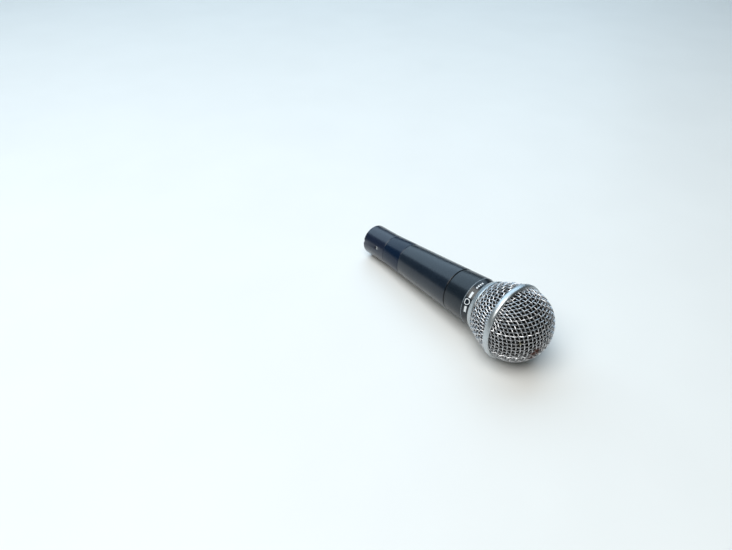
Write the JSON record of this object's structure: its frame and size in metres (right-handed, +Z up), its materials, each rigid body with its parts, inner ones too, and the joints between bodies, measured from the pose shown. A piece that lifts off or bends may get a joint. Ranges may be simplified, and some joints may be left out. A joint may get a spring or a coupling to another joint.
{
  "type": "dynamic microphone",
  "caption": "Handheld vocal microphone: tapered enamelled handle, collar with a bevel, round wire-mesh grille with a band, cartridge on a rubber mount, pin socket in the tail.",
  "frame": {"origin": "on the surface the microphone lies on, under the middle of its box", "axes": "+Z up, +X towards the head, with the microphone's own axis tilted up by 5.77 degrees from +X because the tail rim and the ball's band both touch the surface"},
  "size_m": [0.1624, 0.0506, 0.0505],
  "materials": {
    "enamel": "satin",
    "black_plastic": "satin",
    "gold": "polished",
    "brass": "satin",
    "bright_steel": "satin",
    "core_steel": "matte",
    "grey_plastic": "matte",
    "copper": "enamelled wire",
    "potting": "matte",
    "lead_yellow": "satin",
    "lead_green": "satin",
    "lead_red": "satin",
    "lead_black": "satin",
    "rubber": "matte",
    "dull_steel": "plated",
    "felt": "matte",
    "film": "glossy film",
    "board": "matte",
    "mesh_steel": "satin",
    "foam": "matte"
  },
  "bodies": {
    "handle": {"handle": "enamel", "collar": "enamel", "plug_insert": "black_plastic", "contact_pin_1": "gold", "contact_pin_2": "gold", "contact_pin_3": "gold", "ground_spring": "brass", "transformer_core": "core_steel", "transformer_bobbin": "grey_plastic", "transformer_winding": "copper", "transformer_sleeve": "potting", "cartridge_lead_1": "lead_yellow", "cartridge_lead_2": "lead_green", "output_lead_1": "lead_red", "output_lead_2": "lead_black", "shock_mount": "rubber", "mount_ring": "dull_steel"},
    "set_screw": {"set_screw": "bright_steel"},
    "liner": {"windscreen_foam": "foam"},
    "grille": {"grille_ring": "bright_steel", "grille_rear_mesh": "mesh_steel", "grille_band": "bright_steel", "grille_front_mesh": "mesh_steel"},
    "cartridge": {"cartridge_frame": "grey_plastic", "port_felt": "felt", "yoke_cup": "dull_steel", "magnet": "bright_steel", "pole_piece": "dull_steel", "top_plate": "dull_steel", "clamp_ring": "grey_plastic", "resonator_cap": "black_plastic", "front_screen": "felt", "rear_chamber": "dull_steel", "terminal_board": "board", "terminal_tag_1": "gold", "terminal_tag_2": "gold"},
    "diaphragm": {"diaphragm": "film", "voice_coil": "copper"}
  },
  "joints": [
    {"name": "grille_advance", "type": "slide", "parent": "handle", "child": "liner", "axis": [0.9949, 0, 0.1006], "range_m": [0, 0.00501]},
    {"name": "grille_unscrew", "type": "hinge", "parent": "liner", "child": "grille", "pos_m": [0.0403, 0, 0.02363], "axis": [0.9949, 0, 0.1006], "range_deg": [0, 1440]},
    {"name": "cartridge_float", "type": "slide", "parent": "handle", "child": "cartridge", "axis": [0.9949, 0, 0.1006], "range_m": [-0.0008, 0.0008], "stiffness_N_per_m": 2000},
    {"name": "diaphragm_travel", "type": "slide", "parent": "cartridge", "child": "diaphragm", "axis": [0.9949, 0, 0.1006], "range_m": [-0.00025, 0.00025], "stiffness_N_per_m": 20},
    {"name": "set_screw_turn", "type": "hinge", "parent": "handle", "child": "set_screw", "pos_m": [-0.06499, -0.00908, 0.01577], "axis": [-0.0294, -0.9563, 0.2909], "range_deg": [0, 720]}
  ],
  "couplings": [
    {"joint": "grille_advance", "follows": "grille_unscrew", "m_per_rad": 0.00019894}
  ]
}
